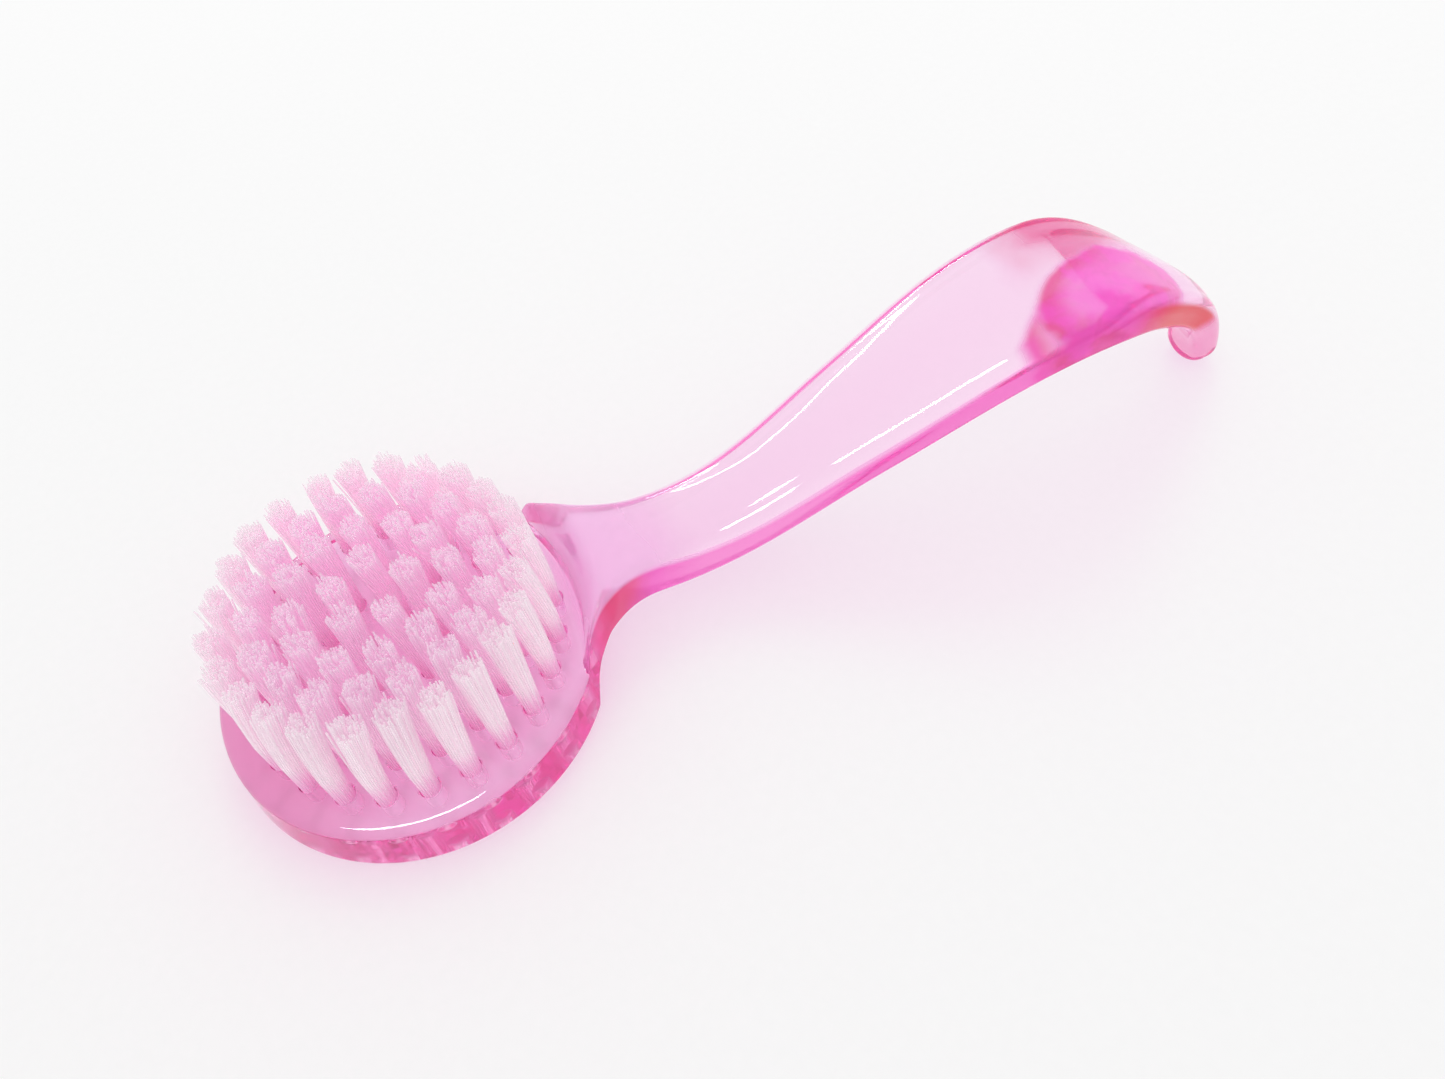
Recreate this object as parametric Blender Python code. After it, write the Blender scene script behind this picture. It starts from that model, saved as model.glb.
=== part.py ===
"""Nail dust brush: a clear moulded head and handle set with anchored nylon tufts.

The frame has its origin at the middle of the head's flat back, +Z up through the bristles
and +X along the handle. All sizes are in metres.
"""

import math

import bmesh
import bpy
from mathutils import Matrix, Vector
from mathutils.geometry import interpolate_bezier

# Head
HEAD_DIAMETER = 0.0380
HEAD_THICKNESS = 0.0056
HEAD_DRAFT = 0.0005  # how far the rim leans in from its back to its face
HEAD_TOP_ROUND = 0.0011
HEAD_BACK_ROUND = 0.0006
FACE_MARGIN = 0.0017  # from the head's widest edge to the flat face that carries the bristles

# Handle, seen from the side
HANDLE_REACH = 0.0951  # from the head's middle to the outermost point of the hooked end
HANDLE_CREST = 0.0229  # height of the arch's top above the head's back
NECK_STEP = 0.0041  # rise of the neck above the bristle face
NECK_STEP_RUN = 0.0028  # length of that rise, from the face's edge
NECK_DIP = 0.0011  # fall of the neck from the step to its waist
HANDLE_THICKNESS = 0.0048
TIP_THICKNESS = 0.0038
HANDLE_CROWN = 0.0005
HANDLE_TOP_ROUND = 0.0019
HANDLE_BACK_ROUND = 0.0012

# Handle, seen from above
NECK_WIDTH = 0.0098
NECK_FILLET = 0.0120
PADDLE_WIDTH = 0.0165
TIP_WIDTH = 0.0054

# Tufts
HOLE_DIAMETER = 0.0020
HOLE_DEPTH = 0.0042
TUFT_CLEARANCE = 0.0003
BRISTLE_LENGTH = 0.0118
TUFT_SPREAD = 0.0027  # across a tuft's cut end
STRAND_GAP = 0.00008
ANCHOR_THICKNESS = 0.0003
ANCHOR_HEIGHT = 0.0011
ANCHOR_CLEARANCE = 0.0001
CUT_OVERRUN = 0.0010
WELD = 0.000002

RING_MARGIN = 0.0025  # from the face's edge to the middles of the outer ring's tufts

# Counts
STRANDS = 7
HOLE_SIDES = 8
HEAD_POINTS = 22
FILLET_POINTS = 8
SIDE_POINTS = 10
TIP_POINTS = 5
ROUND_STEPS = 3
COLUMNS = 6
LINE_STEPS = 24

# Name, tufts and the first tuft's angle in degrees, from the outer ring in
RINGS = (
    ("outer", 24, -5.4),
    ("second", 18, -7.2),
    ("third", 12, -4.0),
    ("inner", 5, 8.0),
)
RING_RADIUS_SHARES = (1.0, 0.777, 0.527, 0.257)  # of the outer ring's radius

# The top line from the neck's waist on: shares of the handle's reach and of its rise, and
# the line's direction there in degrees
LINE_KNOT_SHARES = (
    (0.306, 0.000, 0.0),
    (0.502, 0.465, 23.5),
    (0.745, 1.000, 0.0),
    (0.872, 0.617, -37.0),
)
TIP_DIRECTION = -90.0
LINE_PULL_SHARE = 0.36
HEIGHT_TRIM_SHARES = (1.0, 0.965, 0.99, 0.955, 1.0, 0.975, 0.96)

# Degrees from the handle within which the neck's step follows the round face
BOW_NONE = 48.0
BOW_FULL = 28.0

# The handle's edge: places along the unbent strip as shares of its length, and a direction
PADDLE_SHARE = 0.620
SHOULDER_SHARE = 0.760
SHOULDER_WIDTH_SHARE = 0.71
SHOULDER_DIRECTION = -16.0
GROWN_SHARE = 0.25  # of the handle, over which its edges and crown grow and fade

HEAD_RADIUS = HEAD_DIAMETER / 2
FACE_RADIUS = HEAD_RADIUS - FACE_MARGIN


def ease(share):
    """A smooth step from 0 to 1."""
    share = min(max(share, 0.0), 1.0)
    return share * share * (3.0 - 2.0 * share)


def mix(low, high, share):
    """The value this share of the way from low to high."""
    return low + (high - low) * share


def along(degrees):
    """A unit vector in the plane, turned by this many degrees."""
    return Vector((math.cos(math.radians(degrees)), math.sin(math.radians(degrees))))


def smooth_run(knots, steps):
    """Points on a curve through knots, each a point and the curve's direction there."""
    points = [knots[0][0]]
    for (low, low_turn), (high, high_turn) in zip(knots, knots[1:]):
        pull = (high - low).length * LINE_PULL_SHARE
        first = low + along(low_turn) * pull
        second = high - along(high_turn) * pull
        points.extend(interpolate_bezier(low, first, second, high, steps + 1)[1:])
    return points


class SideLine:
    """The top line of the strip. Places along it are reaches as far as the neck's waist,
    and from there on they follow the line's own length."""

    def __init__(self):
        step_top = HEAD_THICKNESS + NECK_STEP
        waist = step_top - NECK_DIP
        crest = HANDLE_CREST - HANDLE_CROWN
        knots = [
            (Vector((FACE_RADIUS, HEAD_THICKNESS)), 0.0),
            (Vector((FACE_RADIUS + NECK_STEP_RUN, step_top)), 0.0),
        ]
        for reach, rise, degrees in LINE_KNOT_SHARES:
            knots.append((Vector((HANDLE_REACH * reach, mix(waist, crest, rise))), degrees))
        knots.append((Vector((HANDLE_REACH, 0.0)), TIP_DIRECTION))
        self.points = [Vector((-HEAD_RADIUS, HEAD_THICKNESS))] + smooth_run(knots, LINE_STEPS)
        self.start = FACE_RADIUS
        self.waist = knots[2][0].x
        self.places = [self.points[0].x]
        for low, high in zip(self.points, self.points[1:]):
            run = (high - low).length if low.x >= self.waist else high.x - low.x
            self.places.append(self.places[-1] + run)
        self.end = self.places[-1]
        turns = [(high - low).normalized() for low, high in zip(self.points, self.points[1:])]
        middles = [(low + high).normalized() for low, high in zip(turns, turns[1:])]
        self.turns = [along(0.0)] + middles + [along(TIP_DIRECTION)]

    def at(self, place):
        """The point of the line at this place, and the way out through the top there."""
        index = 1
        while index < len(self.points) - 1 and self.places[index] < place:
            index += 1
        share = (place - self.places[index - 1]) / (self.places[index] - self.places[index - 1])
        turn = self.turns[index - 1].lerp(self.turns[index], share)
        square = Vector((-turn.y, turn.x)).normalized()
        lean = ease((place - self.start) / (self.waist - self.start))
        out = along(90.0).lerp(square, lean).normalized()
        return self.points[index - 1].lerp(self.points[index], share), out

    def share_of_handle(self, place):
        """How far along the handle a place is, from 0 at the face's edge to 1 at the tip."""
        return (place - self.start) / (self.end - self.start)


def half_outline(line):
    """The strip's edge at +Y, unbent, from the head's far side to the tip."""
    neck = NECK_WIDTH / 2
    rise = neck + NECK_FILLET
    turn = math.asin(rise / (HEAD_RADIUS + NECK_FILLET))
    centre = Vector(((HEAD_RADIUS + NECK_FILLET) * math.cos(turn), rise))
    points = []
    for step in range(HEAD_POINTS):
        angle = math.degrees(mix(math.pi, turn, step / HEAD_POINTS))
        points.append(along(angle) * HEAD_RADIUS)
    for step in range(FILLET_POINTS):
        angle = math.degrees(mix(math.pi + turn, math.pi * 3 / 2, step / FILLET_POINTS))
        points.append(centre + along(angle) * NECK_FILLET)
    tip = TIP_WIDTH / 2
    paddle = PADDLE_WIDTH / 2
    paddle_place = mix(line.start, line.end, PADDLE_SHARE)
    shoulder_place = mix(line.start, line.end, SHOULDER_SHARE)
    knots = (
        (Vector((centre.x, neck)), 0.0),
        (Vector((paddle_place, paddle)), 0.0),
        (Vector((shoulder_place, paddle * SHOULDER_WIDTH_SHARE)), SHOULDER_DIRECTION),
        (Vector((line.end - tip, tip)), 0.0),
    )
    points.extend(smooth_run(knots, SIDE_POINTS))
    for step in range(1, TIP_POINTS + 1):
        angle = 90.0 * (1 - step / TIP_POINTS)
        points.append(Vector((line.end - tip, 0.0)) + along(angle) * tip)
    points[0].y = 0.0
    points[-1].y = 0.0
    return points


def bow(point):
    """How far a row across the strip bows to the tip, so that the neck rises round the face."""
    angle = math.degrees(math.atan2(point.y, point.x))
    round_share = ease((BOW_NONE - angle) / (BOW_NONE - BOW_FULL))
    near_share = 1 - ease((point.x - HEAD_RADIUS) / HEAD_RADIUS)
    return (point.length - point.x) * round_share * near_share


def rim(top_round, back_round, draft, thickness):
    """Inset and depth pairs from the top face round the edge to the back face."""
    turns = [math.pi / 2 * step / ROUND_STEPS for step in range(ROUND_STEPS + 1)]
    top = []
    back = []
    for turn in turns:
        left, risen = 1 - math.sin(turn), 1 - math.cos(turn)
        top.append((draft + top_round * left, -top_round * risen))
        back.append((back_round * left, back_round * risen - thickness))
    return top + back[::-1]


def section(line, points, index):
    """One closed loop of corners round the strip at one point of its outline."""
    point = points[index]
    if index in (0, len(points) - 1):
        outward = along(180.0 if index == 0 else 0.0)
    else:
        run = (points[index + 1] - points[index - 1]).normalized()
        outward = Vector((-run.y, run.x))
    lead = bow(point)
    share = line.share_of_handle(point.x + lead)
    grown = ease(share / GROWN_SHARE)
    stepped = ease((point.x + lead - line.start) / NECK_STEP_RUN)
    thickness = mix(HEAD_THICKNESS, HANDLE_THICKNESS, stepped)
    thickness = mix(thickness, TIP_THICKNESS, ease(2 * share - 1))
    top_round = mix(HEAD_TOP_ROUND, HANDLE_TOP_ROUND, grown)
    back_round = mix(HEAD_BACK_ROUND, HANDLE_BACK_ROUND, grown)
    draft = mix(HEAD_DRAFT, 0.0, grown)
    crown = HANDLE_CROWN * grown * ease((1 - share) / GROWN_SHARE)
    edge = []
    for inset, depth in rim(top_round, back_round, draft, thickness):
        place = point - outward * inset
        edge.append((place.x, max(place.y, 0.0), depth))
    sides = [mix(1.0, -1.0, column / COLUMNS) for column in range(1, COLUMNS)]
    top_x, top_y, _ = edge[0]
    back_x, back_y, _ = edge[-1]
    under = [(back_x, back_y * side, -thickness) for side in sides]
    other = [(x, -y, depth) for x, y, depth in reversed(edge)]
    over = [(top_x, -top_y * side, crown * (1 - side * side)) for side in sides]
    corners = []
    for x, y, depth in edge + under + other + over:
        middle, out = line.at(x + lead)
        sag = lead * min(abs(y) / max(point.y, HEAD_TOP_ROUND), 1.0) ** 2
        corners.append((middle.x + out.x * depth - sag, y, middle.y + out.y * depth))
    return corners


def strip_mesh():
    """The head and handle as one strip with rounded edges, lofted and bent."""
    line = SideLine()
    points = half_outline(line)
    shape = bmesh.new()
    loops = []
    for index in range(len(points)):
        loops.append([shape.verts.new(corner) for corner in section(line, points, index)])
    for low, high in zip(loops, loops[1:]):
        for index, corner in enumerate(low):
            shape.faces.new((low[index - 1], corner, high[index], high[index - 1]))
    bmesh.ops.remove_doubles(shape, verts=shape.verts, dist=WELD)
    bmesh.ops.recalc_face_normals(shape, faces=shape.faces)
    mesh = bpy.data.meshes.new("head_and_handle")
    shape.to_mesh(mesh)
    shape.free()
    return mesh


def tuft_places():
    """Every tuft's name, place on the bristle face and turn about its own axis."""
    for (name, count, first), share in zip(RINGS, RING_RADIUS_SHARES):
        radius = (FACE_RADIUS - RING_MARGIN) * share
        for index in range(count):
            angle = math.radians(first) + 2 * math.pi * index / count
            place = Vector((radius * math.cos(angle), radius * math.sin(angle), HEAD_THICKNESS))
            yield f"tuft_{name}_{index + 1:02d}", place, angle


def hole_mesh():
    """One cutter for all the blind tuft holes."""
    shape = bmesh.new()
    depth = HOLE_DEPTH + CUT_OVERRUN
    for _, place, angle in tuft_places():
        middle = place + Vector((0.0, 0.0, CUT_OVERRUN - depth / 2))
        bmesh.ops.create_cone(
            shape,
            cap_ends=True,
            segments=HOLE_SIDES,
            radius1=HOLE_DIAMETER / 2,
            radius2=HOLE_DIAMETER / 2,
            depth=depth,
            matrix=Matrix.Translation(middle) @ Matrix.Rotation(angle, 4, "Z"),
        )
    mesh = bpy.data.meshes.new("tuft_holes")
    shape.to_mesh(mesh)
    shape.free()
    return mesh


def anchored_root():
    """The folded root of a tuft joined with the flat wire that anchors it in its hole."""
    radius = HOLE_DIAMETER / 2 - TUFT_CLEARANCE
    length = HOLE_DEPTH - TUFT_CLEARANCE
    root = bmesh.new()
    bmesh.ops.create_cone(
        root,
        cap_ends=True,
        segments=STRANDS,
        radius1=radius,
        radius2=radius,
        depth=length,
        matrix=Matrix.Translation((0.0, 0.0, -length / 2)),
    )
    wire = bmesh.new()
    wall = HOLE_DIAMETER / 2 * math.cos(math.pi / HOLE_SIDES)
    half_height = ANCHOR_HEIGHT / 2
    size = Matrix.Diagonal((2 * (wall - ANCHOR_CLEARANCE), ANCHOR_THICKNESS, ANCHOR_HEIGHT, 1.0))
    middle = Vector((0.0, 0.0, TUFT_CLEARANCE + half_height - length))
    bmesh.ops.create_cube(wire, size=1.0, matrix=Matrix.Translation(middle) @ size)
    objects = []
    for name, shape in (("root", root), ("wire", wire)):
        mesh = bpy.data.meshes.new(name)
        shape.to_mesh(mesh)
        shape.free()
        objects.append(bpy.data.objects.new(name, mesh))
        bpy.context.scene.collection.objects.link(objects[-1])
    union = objects[0].modifiers.new("anchor", "BOOLEAN")
    union.operation = "UNION"
    union.object = objects[1]
    graph = bpy.context.evaluated_depsgraph_get()
    joined = bpy.data.meshes.new_from_object(objects[0].evaluated_get(graph))
    for item in objects:
        bpy.data.objects.remove(item)
    return joined


def tuft_mesh():
    """One tuft: its anchored root, with the strands drawn out of the root's upper end."""
    joined = anchored_root()
    shape = bmesh.new()
    shape.from_mesh(joined)
    bpy.data.meshes.remove(joined)
    top = [face for face in shape.faces if abs(face.calc_center_median().z) < WELD]
    fan = bmesh.ops.poke(shape, faces=top)["faces"]
    bmesh.ops.inset_individual(shape, faces=fan, thickness=STRAND_GAP)
    drawn = bmesh.ops.extrude_discrete_faces(shape, faces=fan)["faces"]
    reach = TUFT_SPREAD / 2
    for index, face in enumerate(drawn):
        middle = face.calc_center_median()
        outward = Vector((middle.x, middle.y, 0.0))
        widest = max(Vector((corner.co.x, corner.co.y, 0.0)).length for corner in face.verts)
        rise = BRISTLE_LENGTH * HEIGHT_TRIM_SHARES[index % len(HEIGHT_TRIM_SHARES)]
        shift = outward.normalized() * (reach - widest)
        bmesh.ops.translate(shape, verts=face.verts, vec=shift + Vector((0.0, 0.0, rise)))
    bmesh.ops.recalc_face_normals(shape, faces=shape.faces)
    mesh = bpy.data.meshes.new("tuft")
    shape.to_mesh(mesh)
    shape.free()
    return mesh


def material(name, colour, roughness, transmission):
    """A Principled material."""
    made = bpy.data.materials.new(name)
    made.use_nodes = True
    shader = made.node_tree.nodes["Principled BSDF"]
    shader.inputs["Base Color"].default_value = (*colour, 1.0)
    shader.inputs["Metallic"].default_value = 0.0
    shader.inputs["Roughness"].default_value = roughness
    shader.inputs["Transmission Weight"].default_value = transmission
    made.diffuse_color = (*colour, 1.0)
    return made


def placed(name, mesh, group, finish=None):
    """A new object for this mesh, in this collection."""
    if finish and not mesh.materials:
        mesh.materials.append(finish)
    made = bpy.data.objects.new(name, mesh)
    group.objects.link(made)
    return made


def main():
    """Builds the brush."""
    for old in list(bpy.data.objects):
        bpy.data.objects.remove(old)
    parts = bpy.data.collections.new("nail_dust_brush")
    cutters = bpy.data.collections.new("cutters")
    bpy.context.scene.collection.children.link(parts)
    bpy.context.scene.collection.children.link(cutters)

    plastic = material("clear_pink_plastic", (0.93, 0.34, 0.70), 0.05, 0.8)
    nylon = material("pale_pink_nylon", (0.92, 0.72, 0.84), 0.35, 0.2)

    body_mesh = strip_mesh()
    for face in body_mesh.polygons:
        face.use_smooth = True
    body = placed("head_and_handle", body_mesh, parts, plastic)
    holes = placed("tuft_holes", hole_mesh(), cutters)
    holes.hide_render = True
    holes.display_type = "WIRE"
    cut = body.modifiers.new("tuft_holes", "BOOLEAN")
    cut.operation = "DIFFERENCE"
    cut.solver = "EXACT"
    cut.object = holes

    tuft = tuft_mesh()
    for name, place, angle in tuft_places():
        made = placed(name, tuft, parts, nylon)
        made.location = place
        made.rotation_euler.z = angle


if __name__ == "__main__":
    main()
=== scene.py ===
"""Nail dust brush, dressed: a clear pink moulding set with rings of fine nylon bristles.

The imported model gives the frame: the origin is the middle of the head's flat back, +Z is up
through the bristles and +X runs along the handle. Every length is in metres.
"""

from __future__ import annotations

import logging
import math
from collections.abc import Iterator
from contextlib import contextmanager
from dataclasses import dataclass
from enum import Enum
from typing import TypeAlias

import bmesh
import bpy
import numpy as np
from bpy.types import Material, Mesh, NodeSocket, NodeTree, Object
from mathutils import Matrix, Vector
from mathutils.geometry import interpolate_bezier


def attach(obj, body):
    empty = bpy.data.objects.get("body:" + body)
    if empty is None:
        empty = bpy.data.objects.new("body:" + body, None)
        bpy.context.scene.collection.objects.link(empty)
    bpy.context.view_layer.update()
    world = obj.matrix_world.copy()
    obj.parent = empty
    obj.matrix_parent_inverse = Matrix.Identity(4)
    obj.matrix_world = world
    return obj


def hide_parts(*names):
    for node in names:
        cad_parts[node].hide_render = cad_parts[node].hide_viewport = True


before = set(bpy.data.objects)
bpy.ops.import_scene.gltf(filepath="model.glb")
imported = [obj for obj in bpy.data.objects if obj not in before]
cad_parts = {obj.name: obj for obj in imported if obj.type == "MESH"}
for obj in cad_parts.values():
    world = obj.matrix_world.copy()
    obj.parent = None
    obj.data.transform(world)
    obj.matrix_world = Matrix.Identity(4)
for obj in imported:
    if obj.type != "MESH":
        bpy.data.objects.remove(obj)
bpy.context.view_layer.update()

Pair: TypeAlias = tuple[float, float]
Triple: TypeAlias = tuple[float, float, float]
Colour: TypeAlias = Triple
Spots: TypeAlias = list[tuple[Vector, float]]
Link: TypeAlias = "Value | float | tuple | None"

LOG = logging.getLogger("nail_dust_brush")
# Corners nearer than WELD are one. A face lies flat where its normal's z passes LEVEL.
WELD = 2e-6
LEVEL = 0.9
UP = Vector((0.0, 0.0, 1.0))


class Ring(Enum):
    """The rings of tufts, from the rim in: tufts, share of the outer radius, first angle."""

    OUTER = (24, 1.000, -5.4)
    SECOND = (18, 0.777, -7.2)
    THIRD = (12, 0.527, -4.0)
    INNER = (5, 0.257, 8.0)

    @property
    def key(self) -> str:
        """The ring's word in the node names."""
        return self.name.lower()

    @property
    def nodes(self) -> list[str]:
        """The CAD nodes of the ring's tufts."""
        return [f"tuft_{self.key}_{index + 1:02d}" for index in range(self.value[0])]


# Working by hand


def pick(*objects: Object) -> None:
    """Selects only these objects, and makes the first the active one.

    Args:
        objects: What to select. With none, everything is deselected.
    """
    if bpy.context.mode != "OBJECT":
        bpy.ops.object.mode_set(mode="OBJECT")
    bpy.ops.object.select_all(action="DESELECT")
    for item in objects:
        item.select_set(True)
    if objects:
        bpy.context.view_layer.objects.active = objects[0]


@contextmanager
def editing(item: Object) -> Iterator[bmesh.types.BMesh]:
    """Opens an object in edit mode.

    Args:
        item: The mesh object.

    Yields:
        Its editable mesh, all deselected at first.
    """
    pick(item)
    bpy.ops.object.mode_set(mode="EDIT")
    bpy.ops.mesh.select_all(action="DESELECT")
    yield bmesh.from_edit_mesh(item.data)
    bpy.ops.object.mode_set(mode="OBJECT")


def choose(shape: bmesh.types.BMesh, parts: list) -> None:
    """Selects only these corners, edges or faces of a mesh in edit mode.

    Args:
        shape: The mesh being edited.
        parts: What to select.
    """
    bpy.ops.mesh.select_all(action="DESELECT")
    for part in parts:
        part.select_set(True)
    shape.select_flush_mode()


def finish(item: Object, kind: str, **settings: object) -> None:
    """Adds a modifier to an object and applies it.

    Args:
        item: The object.
        kind: The modifier's type.
        settings: What to set on it first.
    """
    pick(item)
    bpy.ops.object.modifier_add(type=kind)
    modifier = item.modifiers[-1]
    for name, value in settings.items():
        setattr(modifier, name, value)
    bpy.ops.object.modifier_apply(modifier=modifier.name)


def named(name: str) -> Object:
    """Gives this name to the object that was just added, and to its mesh."""
    bpy.context.object.name = bpy.context.object.data.name = name
    return bpy.context.object


def extrude(way: Vector) -> None:
    """Extrudes what is selected this way."""
    bpy.ops.mesh.extrude_region_move(TRANSFORM_OT_translate={"value": way})


def repeat(first: Object, spots: Spots) -> Object:
    """Copies a piece to each spot and joins the copies.

    Args:
        first: The piece, which isn't kept.
        spots: Each copy's place and its turn about the vertical.

    Returns:
        The copies, as one object.
    """
    copies = []
    for place, angle in spots:
        pick(first)
        bpy.ops.object.duplicate()
        copy = bpy.context.object
        copy.data.transform(Matrix.Translation(place) @ Matrix.Rotation(angle, 4, "Z"))
        copies.append(copy)
    bpy.data.objects.remove(first)
    pick(*copies)
    bpy.ops.object.join()
    return bpy.context.object


def keep(mesh: Mesh, name: str, values: np.ndarray | list[float]) -> None:
    """Keeps one value for each corner of a mesh, for the shader, under this name."""
    kept = mesh.attributes.new(name, "FLOAT", "POINT")
    kept.data.foreach_set("value", np.array(values, np.float32))


def settle(
    item: Object, material: Material, body: str, nodes: list[str]
) -> None:
    """Dresses a finished piece and seats it in the frame.

    Args:
        item: The piece.
        material: Its material.
        body: The CAD body that it rides on.
        nodes: The CAD nodes that it stands for.
    """
    item.data.materials.append(material)
    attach(item, body)
    if nodes:
        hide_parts(*nodes)
    LOG.info("%s: %d faces, %d nodes", item.name, len(item.data.polygons), len(nodes))


# Shader maths


class Value:
    """A shader socket that Python's operators turn into Math nodes."""

    def __init__(self, kit: Shading, socket: NodeSocket) -> None:
        self.kit = kit
        self.socket = socket

    def _math(self, operation: str, first: Link, second: Link = None) -> Value:
        """One Math node."""
        inputs = {0: first} if second is None else {0: first, 1: second}
        return self.kit.add("ShaderNodeMath", inputs, operation=operation)

    def __add__(self, other: Link) -> Value:
        """The sum."""
        return self._math("ADD", self, other)

    def __sub__(self, other: Link) -> Value:
        """The difference."""
        return self._math("SUBTRACT", self, other)

    def __rsub__(self, other: Link) -> Value:
        """The difference, the other way."""
        return self._math("SUBTRACT", other, self)

    def __mul__(self, other: Link) -> Value:
        """The product."""
        return self._math("MULTIPLY", self, other)

    def __pow__(self, other: Link) -> Value:
        """The power."""
        return self._math("POWER", self, other)

    __radd__ = __add__
    __rmul__ = __mul__

    def step(self, low: float, high: float) -> Value:
        """A smooth rise from 0 at the first value to 1 at the second, held outside them."""
        sockets = {"Value": self, "From Min": low, "From Max": high}
        return self.kit.add("ShaderNodeMapRange", sockets, interpolation_type="SMOOTHSTEP")


class Shading:
    """The node tree of a material, of a lamp or of the world."""

    def __init__(self, tree: NodeTree) -> None:
        """Starts with an empty tree."""
        self.tree = tree
        tree.nodes.clear()

    def add(self, kind: str, inputs: dict, out: str | int = 0, **settings: object) -> Value:
        """Adds one node.

        Args:
            kind: The node's type.
            inputs: What each socket holds or is linked to, by name or index.
            out: The output that is wanted.
            settings: What to set on the node first.

        Returns:
            That output, if the node has any.
        """
        node = self.tree.nodes.new(kind)
        for name, value in settings.items():
            setattr(node, name, value)
        for name, value in inputs.items():
            socket = node.inputs[name]
            if isinstance(value, Value):
                self.tree.links.new(value.socket, socket)
            elif socket.type == "RGBA":
                socket.default_value = (*value, 1.0)
            else:
                socket.default_value = value
        return Value(self, node.outputs[out]) if node.outputs else None

    def place(self) -> Value:
        """The place on the piece, in metres."""
        return self.add("ShaderNodeTexCoord", {}, "Object")

    def axes(self, place: Value) -> tuple[Value, ...]:
        """A place's three coordinates."""
        return tuple(self.add("ShaderNodeSeparateXYZ", {0: place}, name) for name in "XYZ")

    def noise(self, place: Value, scale: float, detail: float = 2.0) -> Value:
        """Soft noise about 0.5, by its lumps to the metre and how many finer octaves it has."""
        return self.add("ShaderNodeTexNoise", {"Vector": place, "Scale": scale, "Detail": detail})

    def blend(self, share: Link, first: Link, second: Link) -> Value:
        """A colour between two, by share."""
        return self.add("ShaderNodeMix", {0: share, 6: first, 7: second}, 2, data_type="RGBA")

    def blend_value(self, share: Value, first: Link, second: Link) -> Value:
        """A number between two, by share."""
        return self.add("ShaderNodeMix", {0: share, 2: first, 3: second}, data_type="FLOAT")

    def tone(self, name: str) -> Value:
        """A value kept on the mesh under this name."""
        return self.add("ShaderNodeAttribute", {}, "Fac", attribute_name=name)

    def light_path(self, name: str) -> Value:
        """What the Light Path node says of the ray, by the name of its output."""
        return self.add("ShaderNodeLightPath", {}, name)

    def bounced(self) -> Value:
        """1 for a ray that has left something matt, and 0 before that."""
        return self.light_path("Diffuse Depth").step(0.0, 1.0)

    def bump(self, height: Value, strength: float, depth: float) -> Value:
        """A Bump node's normal."""
        sockets = {"Height": height, "Strength": strength, "Distance": depth}
        return self.add("ShaderNodeBump", sockets)


def new_material(name: str) -> tuple[Material, Shading]:
    """Makes a material with an empty tree.

    Args:
        name: Its name.

    Returns:
        The material, and its tree's kit.
    """
    made = bpy.data.materials.new(name)
    made.use_nodes = True
    return made, Shading(made.node_tree)


# Finishes


@dataclass(frozen=True)
class PaintedLightPlaces:
    """Where each painted colour of light and shade sets in and where it is full.

    Pairs are in metres along, across or up the part, unless they are named as shares.
    """

    handle: Pair = (0.0155, 0.0200)
    head_face: Pair = (-0.0150, 0.0120)
    head_left_painted_shade: Pair = (-0.0165, -0.0020)
    wall_tilt_shares: Pair = (0.60, 0.92)
    far_side: Pair = (0.0, 0.0020)
    neck_start: Pair = (0.0155, 0.0175)
    neck_end: Pair = (0.0200, 0.0310)
    neck_red_end: Pair = (0.0205, 0.0240)
    pool_middle: Pair = (0.0731, -0.0046)
    pool_reach: Pair = (0.0098, 0.0052)
    pool_lean: float = 12.0
    pool_edge_shares: Pair = (0.85, 1.06)
    border_shares: Pair = (0.50, 0.86)
    border_fade: Pair = (0.0690, 0.0730)
    crest_start: Pair = (0.0665, 0.0705)
    crest_end: Pair = (0.0800, 0.0850)
    crest_side: Pair = (0.0005, 0.0045)
    hook_side: Pair = (0.0, -0.0012)
    hook_tilt_shares: Pair = (0.45, 0.75)
    hook_start: Pair = (0.0700, 0.0800)
    hook_height: Pair = (0.0050, 0.0080)
    tip_start: Pair = (0.0860, 0.0885)
    tip_height: Pair = (0.0070, 0.0100)
    under_start: Pair = (0.0640, 0.0720)
    under_shares: Pair = (0.50, 0.80)


@dataclass(frozen=True)
class PaintedLightShares:
    """How much of the painted light and shade shows in each place. Past 1 its own matt body hides
    more of the glass.
    """

    head_face: float = 0.03
    head_left_painted_shade: float = 0.48
    rim: float = 0.40
    far_wall_cut: float = 0.65
    neck: float = 1.10
    neck_wall: float = 0.40
    pool: float = 1.30
    pool_streak: float = 0.30
    pool_edge: float = 0.70
    border_fade: float = 0.60
    border_base: float = 0.40
    border_streak: float = 0.60
    streak: float = 0.15
    crest: float = 1.15
    hook: float = 2.20
    tip: float = 0.60
    under_cut: float = 0.75


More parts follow.
